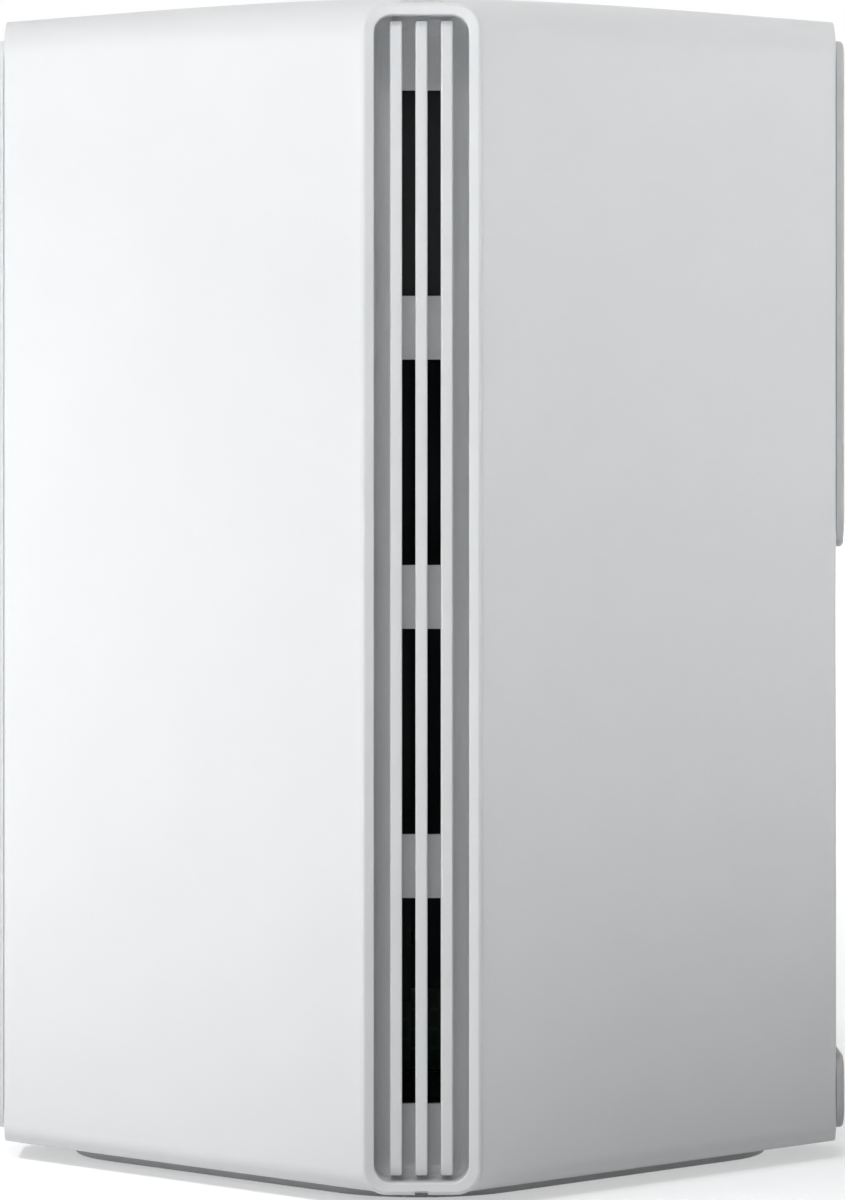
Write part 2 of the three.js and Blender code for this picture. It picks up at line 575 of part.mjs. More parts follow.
function innerFrame() {
  const outline = planOutline(FRAME_MARGIN, PLATE_FLAT, 0);
  let frame = prism(outline, PLATE_LOW, PLATE_LOW + FRAME_PLATE)
    .add(prism(outline, PLATE_TOP, PLATE_TOP + FRAME_PLATE));
  const opening = roundedRectangle(
    OPENING_IN, OPENING_OUT, -PLATE_FLAT / 3, PLATE_FLAT / 3, OPENING_CORNER);
  for (const k of [0, 2])
    frame = frame.subtract(
      turned(prism(opening, PLATE_LOW - 1, PLATE_TOP + FRAME_PLATE + 1), quarter(k)));
  for (let k = 0; k < 4; k++) {
    const post = block([PILLAR_OUT - PILLAR_DEPTH, -PILLAR_WIDTH / 2, PLATE_LOW],
      [PILLAR_OUT, PILLAR_WIDTH / 2, PLATE_TOP + FRAME_PLATE]);
    const boss = rod(BOSS_DIAMETER, BASE_HIGH + SEAT, PLATE_LOW + 1, up, BOSS_PLACE, 0);
    const pilot = rod(SCREW_SHANK + 2 * SEAT, BASE_HIGH - 1, PLATE_LOW + FRAME_PLATE - PILOT_SKIN, up,
      BOSS_PLACE, 0, 12);
    frame = frame.add(turned(post.add(boss), onFace(k))).subtract(turned(pilot, onFace(k)));
  }
  const screen = block(
    [PLATE_FLAT - SCREEN_THICK, -SCREEN_WIDTH / 2, TROUGH_HIGH - WINDOW_END - WINDOW_HEIGHT - SCREEN_LAP],
    [PLATE_FLAT, SCREEN_WIDTH / 2, PLATE_TOP + 1]);
  for (const k of [0, 2])
    frame = frame.add(turned(screen, quarter(k)));
  for (const [y, z] of boardScrewPlaces()) {
    const lower = z < HEIGHT / 2;
    const tab = block(
      [BOARD_BACK - SEAT - TAB_DEPTH, y - TAB_WIDTH / 2, lower ? PLATE_LOW + 1 : z - TAB_HEIGHT / 2],
      [BOARD_BACK - SEAT, y + TAB_WIDTH / 2, lower ? z + TAB_HEIGHT / 2 : PLATE_TOP + 1]);
    const pilot = rod(SCREW_SHANK + 2 * SEAT, BOARD_BACK - TAB_DEPTH - 1, BOARD_FACE, alongX, y, z, 12);
    frame = frame.add(tab).subtract(pilot);
  }
  add("inner_frame", frame, BLACK);
}

// ---- Boards, chips and heat sinks ----
const SINK_LOW = BOARD_LOW + TAB_HEIGHT + FRAME_PLATE;
const SINK_HIGH = BOARD_HIGH - TAB_HEIGHT - FRAME_PLATE;
const SINK_Y = [BOARD_FRONT_Y + TAB_WIDTH + SINK_CLEAR, SOCKET_FRONT - JACK_DEPTH - 2 * SINK_CLEAR];
const SINK_MIDDLE = (SINK_Y[0] + SINK_Y[1]) / 2;
const SINK_SCREW_Z = [SINK_LOW + SINK_SCREW_END, SINK_HIGH - SINK_SCREW_END];
const CHIP_Z = (SINK_LOW + SINK_HIGH) / 2;

function mainBoard() {
  let board = block([BOARD_BACK, BOARD_FRONT_Y, BOARD_LOW], [BOARD_FACE, BOARD_REAR_Y, BOARD_HIGH]);
  const holes = [...boardScrewPlaces(), ...SINK_SCREW_Z.map((z) => [SINK_MIDDLE, z])];
  for (const [y, z] of holes)
    board = board.subtract(
      rod(SCREW_SHANK + 2 * FIT, BOARD_BACK - 1, BOARD_FACE + 1, alongX, y, z, 16));
  add("main_board", board, GREEN);
}

// A comb of vertical fins on a base plate, looking along +X from the chip it cools.
// The fin tips follow the square plan, clear of the pillars.
function heatSink(base, reach, [y0, y1], low, high) {
  const pitch = (y1 - y0 - SINK_FIN) / (SINK_FINS - 1);
  let made = block([base, y0, low], [base + SINK_BASE, y1, high]);
  for (let i = 0; i < SINK_FINS; i++) {
    const y = y0 + i * pitch;
    made = made.add(block([base + SINK_BASE / 2, y, low], [base + SINK_BASE + reach, y + SINK_FIN, high]));
  }
  return made;
}

// The room between the pillars and the tongues that the heat sinks keep to.
function betweenPillars() {
  const outline = planOutline(FRAME_MARGIN + PILLAR_DEPTH + 1, PLATE_FLAT - SCREEN_THICK - 1, 0);
  return prism(outline, SINK_LOW - 1, SINK_HIGH + 1);
}

function coolingSide() {
  const chipFront = BOARD_FACE + SEAT + CHIP_THICK;
  const padFront = chipFront + SEAT + PAD_GAP;
  const base = padFront + SEAT;
  const half = CHIP_SIZE / 2;
  const y = SINK_MIDDLE;
  add("processor", block([BOARD_FACE + SEAT, y - half, CHIP_Z - half],
    [chipFront, y + half, CHIP_Z + half]), BLACK);
  add("processor_thermal_pad", block([chipFront + SEAT, y - half, CHIP_Z - half],
    [padFront, y + half, CHIP_Z + half]), SILICONE);
  let sink = heatSink(base, SINK_REACH, SINK_Y, SINK_LOW, SINK_HIGH).intersect(betweenPillars());
  for (const z of SINK_SCREW_Z)
    sink = sink
      .add(rod(SCREW_HEAD, BOARD_FACE + SEAT, base + 1, alongX, y, z))
      .subtract(rod(SCREW_SHANK + 2 * SEAT, BOARD_FACE - 1, base + SINK_BASE, alongX, y, z, 12));
  add("processor_heat_sink", sink, ALUMINIUM);
}

function radioSide() {
  const canFront = CAN_DEPTH + SEAT;
  const padFront = canFront + SEAT + PAD_GAP;
  const base = padFront + SEAT;
  const turn = new THREE.Matrix4().makeTranslation(BOARD_BACK, 0, 0).multiply(quarter(2));
  const y = [-SINK_Y[1], -SINK_Y[0]];
  const canWidth = (y[1] - y[0]) / 2 - 2 * FIT;
  const canHeight = (SINK_SCREW_Z[1] - SINK_SCREW_Z[0]) / 2 - 2 * SCREW_HEAD;
  [SINK_SCREW_Z[0] + 1.5 * SCREW_HEAD, SINK_SCREW_Z[1] - 1.5 * SCREW_HEAD - canHeight].forEach((z, i) => {
    const [y0, y1] = [-SINK_MIDDLE - canWidth, -SINK_MIDDLE + canWidth];
    const can = block([SEAT, y0, z], [canFront, y1, z + canHeight]).subtract(
      block([-1, y0 + CAN_SHEET, z + CAN_SHEET],
        [canFront - CAN_SHEET, y1 - CAN_SHEET, z + canHeight - CAN_SHEET]));
    add("radio_shield_" + (i + 1), turned(can, turn), TIN);
    const margin = RADIO_PAD_MARGIN;
    add("radio_thermal_pad_" + (i + 1), turned(block([canFront + SEAT, y0 + margin, z + margin],
      [padFront, y1 - margin, z + canHeight - margin]), turn), SILICONE);
    const chip = CHIP_SIZE / 3;
    add("radio_chip_" + (i + 1), turned(block(
      [SEAT, -SINK_MIDDLE - chip, z + canHeight / 2 - chip],
      [CHIP_THICK, -SINK_MIDDLE + chip, z + canHeight / 2 + chip]), turn), BLACK);
  });
  const sink = turned(heatSink(base, SINK_REACH - CAN_DEPTH, y, SINK_LOW, SINK_HIGH), turn);
  add("radio_heat_sink", sink.intersect(betweenPillars()), ALUMINIUM);
}

// ---- Aerials on the pillars, and the leads to the main board ----
// A round lead along a smooth line through the given places, its ends cut square.
function lead(name, places) {
  const outline = new THREE.Shape().absarc(0, 0, LEAD_DIAMETER / 2, 0, 2 * Math.PI);
  const line = new THREE.CatmullRomCurve3(places.map((place) => new THREE.Vector3(...place)));
  const geometry = new THREE.ExtrudeGeometry(outline, {
    extrudePath: line, steps: 10, curveSegments: 4, bevelEnabled: false,
  });
  add(name, solid(geometry), BLACK);
}

const AERIAL_HIGH = PLATE_TOP - 2;
const AERIAL_LOW = AERIAL_HIGH - AERIAL_HEIGHT;

function aerials() {
  const face = PILLAR_OUT + SEAT;
  for (let k = 0; k < 4; k++) {
    const board = block([face, -AERIAL_WIDTH / 2, AERIAL_LOW],
      [face + AERIAL_THICK, AERIAL_WIDTH / 2, AERIAL_HIGH]);
    add("aerial_" + (k + 1), turned(board, onFace(k)), GREEN);
  }
}

// Each aerial's lead starts behind the aerial, beside its pillar, and goes round the heat sink to
// the nearer side of the board.
function aerialLeads() {
  const out = PILLAR_OUT - LEAD_DIAMETER / 2;
  const across = AERIAL_WIDTH / 2 - 1;
  const startX = (out - across) / Math.SQRT2;
  const startY = (out + across) / Math.SQRT2;
  for (let k = 0; k < 4; k++) {
    const toX = k === 0 || k === 3 ? 1 : -1;
    const toY = k < 2 ? 1 : -1;
    const endX = toX > 0 ? BOARD_FACE + SEAT : BOARD_BACK - SEAT;
    const endY = toY > 0 ? BOARD_REAR_Y - 2 * LEAD_CLEAR : BOARD_FRONT_Y + LEAD_CLEAR;
    const midY = (toY * startY + endY) / 2;
    lead("aerial_lead_" + (k + 1), [
      [toX * startX, toY * startY, AERIAL_LOW + LEAD_FALL],
      [toX * startX, toY * startY, AERIAL_LOW - LEAD_FALL],
      [toX * startX * 0.75, midY, AERIAL_LOW - 3 * LEAD_FALL],
      [endX + toX * 1.5 * LEAD_CLEAR, endY, AERIAL_LOW - 4.5 * LEAD_FALL],
      [endX + toX * LEAD_CLEAR / 2, endY, AERIAL_LOW - 5 * LEAD_FALL],
      [endX, endY, AERIAL_LOW - 5 * LEAD_FALL],
    ]);
  }
}

// From the back of the light board to the main board.
function lightLead() {
  const start = PLUG_DEPTH + FIT + 1 + SEAT - FLAT;
  const end = BOARD_FRONT_Y + LEAD_CLEAR;
  const high = LENS_HEIGHT + LEAD_CLEAR;
  lead("light_board_lead", [
    [0, start, LENS_HEIGHT],
    [0, start + 1, LENS_HEIGHT],
    [BOARD_FACE / 3, (start + end) / 2, (LENS_HEIGHT + high) / 2],
    [BOARD_FACE / 2, end, high],
    [BOARD_FACE + SEAT, end, high],
  ]);
}

// ---- Base ----
function baseCover() {
  const half = FOOT_SIDE / 2;
  const plinth = prism(roundedRectangle(-half, half, -half, half, FOOT_CORNER), PAD_PROUD,
    BASE_LOW + 1, eighth(1), PLINTH_EDGE, 6);
  const padHalf = half - PAD_MARGIN + FIT;
  const pocket = prism(
    roundedRectangle(-padHalf, padHalf, -padHalf, padHalf, FOOT_CORNER - PAD_MARGIN + FIT),
    -1, PAD_THICK + SEAT, eighth(1));
  let base = prism(planOutline(WALL + FIT, FLAT - WALL - FIT, 0), BASE_LOW, BASE_HIGH)
    .add(plinth)
    .subtract(pocket);
  const troughHalf = TROUGH_WIDTH / 2 + TROUGH_WALL + FIT;
  const troughBack = FACE - TROUGH_DEPTH - TROUGH_FLOOR - FIT;
  for (const side of [-1, 1])
    base = base.subtract(
      block([side < 0 ? -FACE : troughBack, -troughHalf, 0],
        [side < 0 ? -troughBack : FACE, troughHalf, BASE_HIGH + 1]));
  for (let k = 0; k < 4; k++) {
    const hookFace = PLAN_SIDE / 2 - WALL - FIT;
    const hook = block([hookFace - HOOK_THICK, -HOOK_WIDTH / 2, BASE_HIGH - 1],
      [hookFace, HOOK_WIDTH / 2, BASE_HIGH + HOOK_HEIGHT]);
    const hole = rod(SCREW_SHANK + 2 * FIT, -1, BASE_HIGH + 1, up, BOSS_PLACE, 0, 16);
    const sink = rod(SCREW_HEAD + 2 * FIT, -1, PAD_THICK + 3 * SEAT + SCREW_HEAD_HEIGHT, up, BOSS_PLACE, 0);
    base = base.add(turned(hook, onFace(k)));
    base = base.subtract(turned(hole, onFace(k))).subtract(turned(sink, onFace(k)));
  }
  add("base_cover", base, WHITE);

  const pad = half - PAD_MARGIN;
  add("foot_pad", prism(
    roundedRectangle(-pad, pad, -pad, pad, FOOT_CORNER - PAD_MARGIN), 0, PAD_THICK, eighth(1)),
  RUBBER);
}

// ---- Screws ----
// A pan-head screw whose head sits on local z = 0 and whose shank runs along local +Z.
function screw(length = SCREW_LENGTH) {
  const head = SCREW_HEAD / 2;
  const shank = SCREW_SHANK / 2;
  const profile = [
    [0, -SCREW_HEAD_HEIGHT],
    [head * SCREW_CROWN, -SCREW_HEAD_HEIGHT],
    [head, -SCREW_HEAD_HEIGHT / 2],
    [head, 0],
    [shank, 0],
    [shank, length - shank],
    [0, length],
  ].map(([r, z]) => new THREE.Vector2(r, z));
  return solid(new THREE.LatheGeometry(profile, 10).rotateX(Math.PI / 2));
}

function screws() {
  for (let k = 0; k < 4; k++) {
    const place = onFace(k).multiply(new THREE.Matrix4().makeTranslation(
      BOSS_PLACE, 0, PAD_THICK + 2 * SEAT + SCREW_HEAD_HEIGHT));
    add("base_screw_" + (k + 1), turned(screw(), place), TIN);
  }
  boardScrewPlaces().forEach(([y, z], i) => {
    const place = new THREE.Matrix4().makeTranslation(BOARD_FACE + SEAT, y, z)
      .multiply(new THREE.Matrix4().makeRotationY(-Math.PI / 2));
    add("board_screw_" + (i + 1), turned(screw(BOARD_THICK + TAB_DEPTH), place), TIN);
  });
  SINK_SCREW_Z.forEach((z, i) => {
    const place = new THREE.Matrix4().makeTranslation(BOARD_BACK - SEAT, SINK_MIDDLE, z)
      .multiply(new THREE.Matrix4().makeRotationY(Math.PI / 2));
    add("sink_screw_" + (i + 1), turned(screw(BOARD_THICK + SINK_THREAD), place), TIN);
  });
}

outerShell();
add("vent_grille_right", ventGrille(), WHITE);
add("vent_grille_left", turned(ventGrille(), quarter(2)), WHITE);
frontStrip();
add("rear_strip_upper", turned(strip(PORT_HIGH, STRIP_HIGH), quarter(1)), WHITE);
add("rear_strip_lower", turned(strip(STRIP_LOW, PORT_LOW), quarter(1)), WHITE);
portPanel();
for (let i = 0; i < JACK_COUNT; i++) networkJack(i);
powerInlet();
pairingButton();
resetSwitch();
innerFrame();
mainBoard();
coolingSide();
radioSide();
aerials();
aerialLeads();
lightLead();
baseCover();
screws();

export default group;
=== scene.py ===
import json
import math

import bmesh
import bpy
import numpy as np
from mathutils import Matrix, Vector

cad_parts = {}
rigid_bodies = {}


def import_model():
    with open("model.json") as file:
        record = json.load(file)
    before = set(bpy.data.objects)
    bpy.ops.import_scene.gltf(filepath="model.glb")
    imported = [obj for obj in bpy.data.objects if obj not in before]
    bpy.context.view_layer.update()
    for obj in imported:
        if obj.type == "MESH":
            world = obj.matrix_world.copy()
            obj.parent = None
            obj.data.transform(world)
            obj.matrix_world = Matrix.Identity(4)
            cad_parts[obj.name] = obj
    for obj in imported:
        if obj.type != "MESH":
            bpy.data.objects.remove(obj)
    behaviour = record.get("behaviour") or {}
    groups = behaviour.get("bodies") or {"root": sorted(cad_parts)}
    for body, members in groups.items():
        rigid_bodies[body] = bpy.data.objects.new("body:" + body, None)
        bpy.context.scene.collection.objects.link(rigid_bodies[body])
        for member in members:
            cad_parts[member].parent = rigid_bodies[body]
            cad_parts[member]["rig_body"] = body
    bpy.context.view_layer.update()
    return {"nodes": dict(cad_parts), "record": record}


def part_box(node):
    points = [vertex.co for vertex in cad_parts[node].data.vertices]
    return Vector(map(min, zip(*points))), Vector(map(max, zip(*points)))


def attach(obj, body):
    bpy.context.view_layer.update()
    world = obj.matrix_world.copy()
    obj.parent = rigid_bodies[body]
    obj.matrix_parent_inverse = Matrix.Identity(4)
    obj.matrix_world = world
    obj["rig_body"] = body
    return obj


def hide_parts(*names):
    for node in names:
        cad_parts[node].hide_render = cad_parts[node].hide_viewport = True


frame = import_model()
nodes = frame["nodes"]
scene = bpy.context.scene


# ---------------------------------------------------------------------------
# The place it stands in: a camera at about two thirds of the height, almost
# square on to one cut corner, a plain white floor and the soft boxes of a studio.
# The floor and the sky are whiter to the eye than the light that they give.
# ---------------------------------------------------------------------------
off_corner = math.radians(0.19)  # the camera stands this far round from the corner
camera_away = 0.8745
camera_height = 0.1138
camera_data = bpy.data.cameras.new("camera")
camera_data.lens = 166.0
camera_data.sensor_width = 36.0
camera_data.shift_x = 0.0021
camera_data.shift_y = -0.14
camera = bpy.data.objects.new("camera", camera_data)
camera.location = (camera_away * math.cos(off_corner), -camera_away * math.sin(off_corner),
                   camera_height)
camera.rotation_euler = (math.pi / 2, 0, math.pi / 2 - off_corner)
scene.collection.objects.link(camera)
scene.camera = camera
scene.view_settings.view_transform = "Standard"


def soft_box(name, place, width, watts, aim=(0, 0, 0.1)):
    """A square area light at place, turned so that it faces aim."""
    data = bpy.data.lights.new(name, "AREA")
    data.shape = "SQUARE"
    data.size = width
    data.energy = watts
    lamp = bpy.data.objects.new(name, data)
    lamp.location = place
    way = np.array(aim, float) - np.array(place, float)
    turn = math.atan2(way[0], -way[1])
    tilt = math.atan2(math.hypot(way[0], way[1]), -way[2])
    lamp.rotation_euler = (tilt, 0, turn)
    scene.collection.objects.link(lamp)


soft_box("key_box", (2.07, -0.66, 1.35), 0.5, 295.0)
soft_box("high_box", (1.57, -0.33, 2.02), 0.7, 59.0)
soft_box("left_box", (0.29, -0.8, 0.95), 0.6, 70.0)
soft_box("right_box", (0.0, 0.62, 0.5), 0.4, 42.0)
soft_box("roof_box", (0, 0, 0.55), 0.25, 0.6)
soft_box("back_box", (-1.9, 0.5, 1.4), 0.7, 90.0)


def seen_or_lighting(tree, lighting, seen):
    """A mix that shows seen to the eye, in mirrors and through glass, and lights with lighting."""
    ray = tree.nodes.new("ShaderNodeLightPath")
    eye_or_mirror = tree.nodes.new("ShaderNodeMath")
    eye_or_mirror.operation = "ADD"
    or_glass = tree.nodes.new("ShaderNodeMath")
    or_glass.operation = "ADD"
    or_glass.use_clamp = True
    choice = tree.nodes.new("ShaderNodeMixShader")
    tree.links.new(ray.outputs["Is Camera Ray"], eye_or_mirror.inputs[0])
    tree.links.new(ray.outputs["Is Glossy Ray"], eye_or_mirror.inputs[1])
    tree.links.new(eye_or_mirror.outputs[0], or_glass.inputs[0])
    tree.links.new(ray.outputs["Is Transmission Ray"], or_glass.inputs[1])
    tree.links.new(or_glass.outputs[0], choice.inputs[0])
    tree.links.new(lighting.outputs[0], choice.inputs[1])
    tree.links.new(seen.outputs[0], choice.inputs[2])
    return choice


world = bpy.data.worlds.new("studio")
scene.world = world
world.use_nodes = True
sky = world.node_tree
room_light = sky.nodes["Background"]
room_light.inputs["Color"].default_value = (1, 1, 1, 1)
room_light.inputs["Strength"].default_value = 0.18
plain_white = sky.nodes.new("ShaderNodeBackground")
plain_white.inputs["Color"].default_value = (1, 1, 1, 1)
sky_choice = seen_or_lighting(sky, room_light, plain_white)
sky.links.new(sky_choice.outputs[0], sky.nodes["World Output"].inputs["Surface"])

floor_reach = 6.0
floor_level = -0.0001  # just under the foot, so that the two faces never lie in one plane
floor_mesh = bpy.data.meshes.new("floor")
floor_mesh.from_pydata(
    [(-floor_reach, -floor_reach, floor_level), (floor_reach, -floor_reach, floor_level),
     (floor_reach, floor_reach, floor_level), (-floor_reach, floor_reach, floor_level)],
    [], [(0, 1, 2, 3)])
floor = bpy.data.objects.new("floor", floor_mesh)
scene.collection.objects.link(floor)
floor_finish = bpy.data.materials.new("white_sweep")
floor_finish.use_nodes = True
sweep = floor_finish.node_tree
sweep.nodes.remove(sweep.nodes["Principled BSDF"])
paper = sweep.nodes.new("ShaderNodeBsdfDiffuse")
paper.inputs["Color"].default_value = (0.78, 0.79, 0.8, 1)
glow = sweep.nodes.new("ShaderNodeEmission")
glow.inputs["Color"].default_value = (1, 1, 1, 1)
floor_place = sweep.nodes.new("ShaderNodeTexCoord")
from_middle = sweep.nodes.new("ShaderNodeVectorMath")
from_middle.operation = "LENGTH"
fade = sweep.nodes.new("ShaderNodeMapRange")  # weak near the object, so that its shadow shows
fade.inputs["From Min"].default_value = 0.1
fade.inputs["From Max"].default_value = 0.7
fade.inputs["To Min"].default_value = 0.48
fade.inputs["To Max"].default_value = 0.95
sweep.links.new(floor_place.outputs["Object"], from_middle.inputs[0])
sweep.links.new(from_middle.outputs["Value"], fade.inputs["Value"])
sweep.links.new(fade.outputs["Result"], glow.inputs["Strength"])
glowing_paper = sweep.nodes.new("ShaderNodeAddShader")
sweep.links.new(paper.outputs[0], glowing_paper.inputs[0])
sweep.links.new(glow.outputs[0], glowing_paper.inputs[1])
sweep_choice = seen_or_lighting(sweep, paper, glowing_paper)
sweep.links.new(sweep_choice.outputs[0], sweep.nodes["Material Output"].inputs["Surface"])
floor_mesh.materials.append(floor_finish)


# ---------------------------------------------------------------------------
# Outer shell: a one-piece sleeve of white ABS with a closed, faintly arched roof,
# injection moulded with a fine spark-eroded grain. Its inside is painted near black,
# as painted shade that keeps the windows dark. Each corner flat has a slot that a
# grille or a strip snaps into.
# ---------------------------------------------------------------------------
side = 0.1046
wall = 0.0024
top_fillet = 0.006
bottom_fillet = 0.003
edge_round = 0.0008
roof_drop = 0.0013
wall_foot, wall_first = 0.0057, 0.010  # heights of the rings in the upright part of the wall
wall_last, wall_top = 0.168, 0.1705
shell_low, shell_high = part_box("outer_shell")
flat = shell_high[0]  # from the axis to each corner flat


def moulded_plastic(name, colour, roughness, grain=0.0003, depth=0.00002, mottle=0.012):
    """Plastic with an even fine bump of the grain's size and a very slight cloudiness.

    The colour goes mottle either side of the one given, and the roughness goes ripple.
    """
    ripple = 0.06
    finish = bpy.data.materials.new(name)
    finish.use_nodes = True
    parts = finish.node_tree.nodes
    wires = finish.node_tree.links
    shader = parts["Principled BSDF"]
    shader.inputs["IOR"].default_value = 1.5
    place = parts.new("ShaderNodeTexCoord")
    clouds = parts.new("ShaderNodeTexNoise")
    clouds.inputs["Scale"].default_value = 35.0
    clouds.inputs["Detail"].default_value = 4.0
    tint = parts.new("ShaderNodeValToRGB")
    tint.color_ramp.elements[0].position = 0.3
    tint.color_ramp.elements[1].position = 0.7
    for stop, shade in zip(tint.color_ramp.elements, (1 - mottle, 1 + mottle)):
        stop.color = [min(1.0, c * shade) for c in colour] + [1]
    gloss = parts.new("ShaderNodeMapRange")
    gloss.inputs["To Min"].default_value = roughness * (1 - ripple)
    gloss.inputs["To Max"].default_value = roughness * (1 + ripple)
    skin = parts.new("ShaderNodeTexNoise")
    skin.inputs["Scale"].default_value = 1 / grain
    skin.inputs["Detail"].default_value = 2.0
    bump = parts.new("ShaderNodeBump")
    bump.inputs["Strength"].default_value = 0.25
    bump.inputs["Distance"].default_value = depth
    wires.new(place.outputs["Object"], clouds.inputs["Vector"])
    wires.new(place.outputs["Object"], skin.inputs["Vector"])
    wires.new(clouds.outputs["Fac"], tint.inputs["Fac"])
    wires.new(tint.outputs["Color"], shader.inputs["Base Color"])
    wires.new(clouds.outputs["Fac"], gloss.inputs["Value"])
    wires.new(gloss.outputs["Result"], shader.inputs["Roughness"])
    wires.new(skin.outputs["Fac"], bump.inputs["Height"])
    wires.new(bump.outputs["Normal"], shader.inputs["Normal"])
    return finish


sharp_over = math.radians(35)


def finish_piece(name, points, faces, materials, body):
    """Makes a mesh object of points and faces, smooth but for edges turned by over sharp_over."""
    mesh = bpy.data.meshes.new(name)
    mesh.from_pydata(np.asarray(points).reshape(-1, 3).tolist(), [], faces)
    mesh.validate()
    mesh.shade_smooth()
    mesh.set_sharp_from_angle(angle=sharp_over)
    for material in materials:
        mesh.materials.append(material)
    piece = bpy.data.objects.new(name, mesh)
    scene.collection.objects.link(piece)
    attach(piece, body)
    return piece


def grid_faces(rows, columns, closed_rows=False, closed_columns=True):
    """Quads between neighbouring points of a grid stored row by row, closed round if asked."""
    i = np.arange(rows if closed_rows else rows - 1)[:, None]
    j = np.arange(columns if closed_columns else columns - 1)[None, :]
    i_next = (i + 1) % rows
    j_next = (j + 1) % columns
    quads = [i * columns + j, i * columns + j_next, i_next * columns + j_next, i_next * columns + j]
    return np.stack(np.broadcast_arrays(*quads), -1).reshape(-1, 4)


def capped_faces(rows, columns):
    """The quads of a grid closed round its columns, and one face over each end row."""
    first = list(range(columns))[::-1]
    last = list(range((rows - 1) * columns, rows * columns))
    return grid_faces(rows, columns).tolist() + [first, last]


def plan_rings(inset, scale, flat_out, round_off, arc_steps=6, face_steps=12):
    """Rows of the cut-corner square, one for each inset, drawn in towards the axis by scale.

    Each quarter is an arc of 45 degrees, the flat, a second such arc and the face. The flat
    stays at flat_out as the faces go in, so it grows narrower, and the arcs shrink with it.
    Flat and face have a stop close to each end, at flat_end of the half and face_end of the run.
    """
    flat_end, face_end = 0.985, 0.002
    inset = np.asarray(inset, float)[:, None]
    half_flat = (side / 2 - inset) * math.sqrt(2) - flat_out
    tangent = math.tan(math.pi / 8)
    radius = np.minimum(round_off, 0.9 * half_flat / tangent)
    centre_out = flat_out - radius
    centre_across = half_flat - radius * tangent
    turn = np.linspace(0, math.pi / 4, arc_steps)
    stops = np.array([[-flat_end, -0.5, 0, 0.5, flat_end]])
    out = [centre_out + radius * np.cos(turn[::-1]), np.full_like(centre_across * stops, flat_out),
           centre_out + radius * np.cos(turn)]
    across = [-centre_across - radius * np.sin(turn[::-1]), centre_across * stops,
              centre_across + radius * np.sin(turn)]
    u, v = np.hstack(out), np.hstack(across)
    start = np.stack([u[:, -1], v[:, -1]], -1)[:, None]
    end = np.stack([-v[:, 0], u[:, 0]], -1)[:, None]
    share = np.concatenate([[face_end], np.linspace(0, 1, face_steps + 1)[1:-1], [1 - face_end]])
    quarter = np.concatenate([np.stack([u, v], -1), start + (end - start) * share[:, None]], 1)
    turned = [quarter,
              np.stack([-quarter[..., 1], quarter[..., 0]], -1),
              -quarter,
              np.stack([quarter[..., 1], -quarter[..., 0]], -1)]
    return np.concatenate(turned, 1) * np.asarray(scale, float)[:, None, None]


def roof_height(x):
    """The roof falls from its ridge with the fourth power of the way to a vent flat."""
    return shell_high[2] - roof_drop * (np.abs(x) / flat) ** 4


def shell_skin(depth, round_off, low_turn):
    """One skin of the shell, as rings from its lower edge up to the middle of the roof.

    depth is how far the skin lies inside the outer one, and low_turn where its lower arc starts.
    The roof's rings are drawn in from roof_edge of the full plan to roof_middle of it.
    """
    roof_edge, roof_middle = 0.995, 0.02
    low_turns = np.radians(np.linspace(low_turn, 0, 9 if low_turn else 1))
    top_turns = np.radians(np.linspace(0, 90, 17))
    straight = np.concatenate([[wall_foot], np.linspace(wall_first, wall_last, 30), [wall_top]])
    roof_scale = np.concatenate([[roof_edge], np.linspace(1, roof_middle, 26)[1:]])
    fillet = top_fillet - depth
    low_inset = bottom_fillet * (1 - np.cos(low_turns))
    inset = depth + np.concatenate([low_inset, 0 * straight, fillet * (1 - np.cos(top_turns)),
                                    0 * roof_scale + fillet])
    scale = np.concatenate([np.ones(len(inset) - len(roof_scale)), roof_scale])
    plan = plan_rings(inset, scale, flat - depth, round_off)
    z = roof_height(plan[..., 0]) - depth
    lows = len(low_turns)
    tops = lows + len(straight)
    z[:lows] = (shell_low[2] + bottom_fillet * (1 - np.sin(low_turns)))[:, None]
    z[lows:tops] = straight[:, None]
    z[tops:tops + len(top_turns)] -= (fillet * (1 - np.sin(top_turns)))[:, None]
    return np.concatenate([plan, z[..., None]], -1)


white_abs = moulded_plastic("white_abs", (0.842, 0.85, 0.857), 0.42)
# Near black painted shade for the inside faces, standing in for the darkness inside the housing.
painted_shade_inside = moulded_plastic("painted_shade_inside", (0.006, 0.006, 0.007), 0.8)
inner_round = 0.00005
lower_arc = 76  # degrees of a quarter turn that the lower edge's round has
outer_skin = shell_skin(0.0, edge_round, lower_arc)
inner_skin = shell_skin(wall, inner_round, 0)[::-1]
inner_skin[-1, :, 2] = outer_skin[0, 0, 2]
skins = np.concatenate([inner_skin, outer_skin])
ring_count, column_count = skins.shape[:2]
shell_faces = capped_faces(ring_count, column_count)
shell = finish_piece("outer_shell_moulding", skins, shell_faces, [white_abs, painted_shade_inside],
                     "router")
# The inner skin and the cap over the inner roof take the painted shade.
inside = np.zeros(len(shell_faces), np.int32)
inside[:(len(inner_skin) - 1) * column_count] = 1
inside[-2] = 1  # the cap over the middle of the inner roof
shell.data.polygons.foreach_set("material_index", inside)


def rectangle_rings(half_u, half_v, radius, steps=8):
    """Rows of rounded rectangles centred on zero: four arcs each, anticlockwise in (u, v)."""
    half_u, half_v, radius = (np.asarray(a, float)[:, None] for a in (half_u, half_v, radius))
    turn = np.linspace(0, math.pi / 2, steps + 1)
    angle = (np.arange(4)[:, None] * math.pi / 2 + turn[None, :]).ravel()[None, :]
    sign_u = np.repeat([1, -1, -1, 1], steps + 1)[None, :]
    sign_v = np.repeat([1, 1, -1, -1], steps + 1)[None, :]
    u = sign_u * (half_u - radius) + radius * np.cos(angle)
    v = sign_v * (half_v - radius) + radius * np.sin(angle)
    return u, v


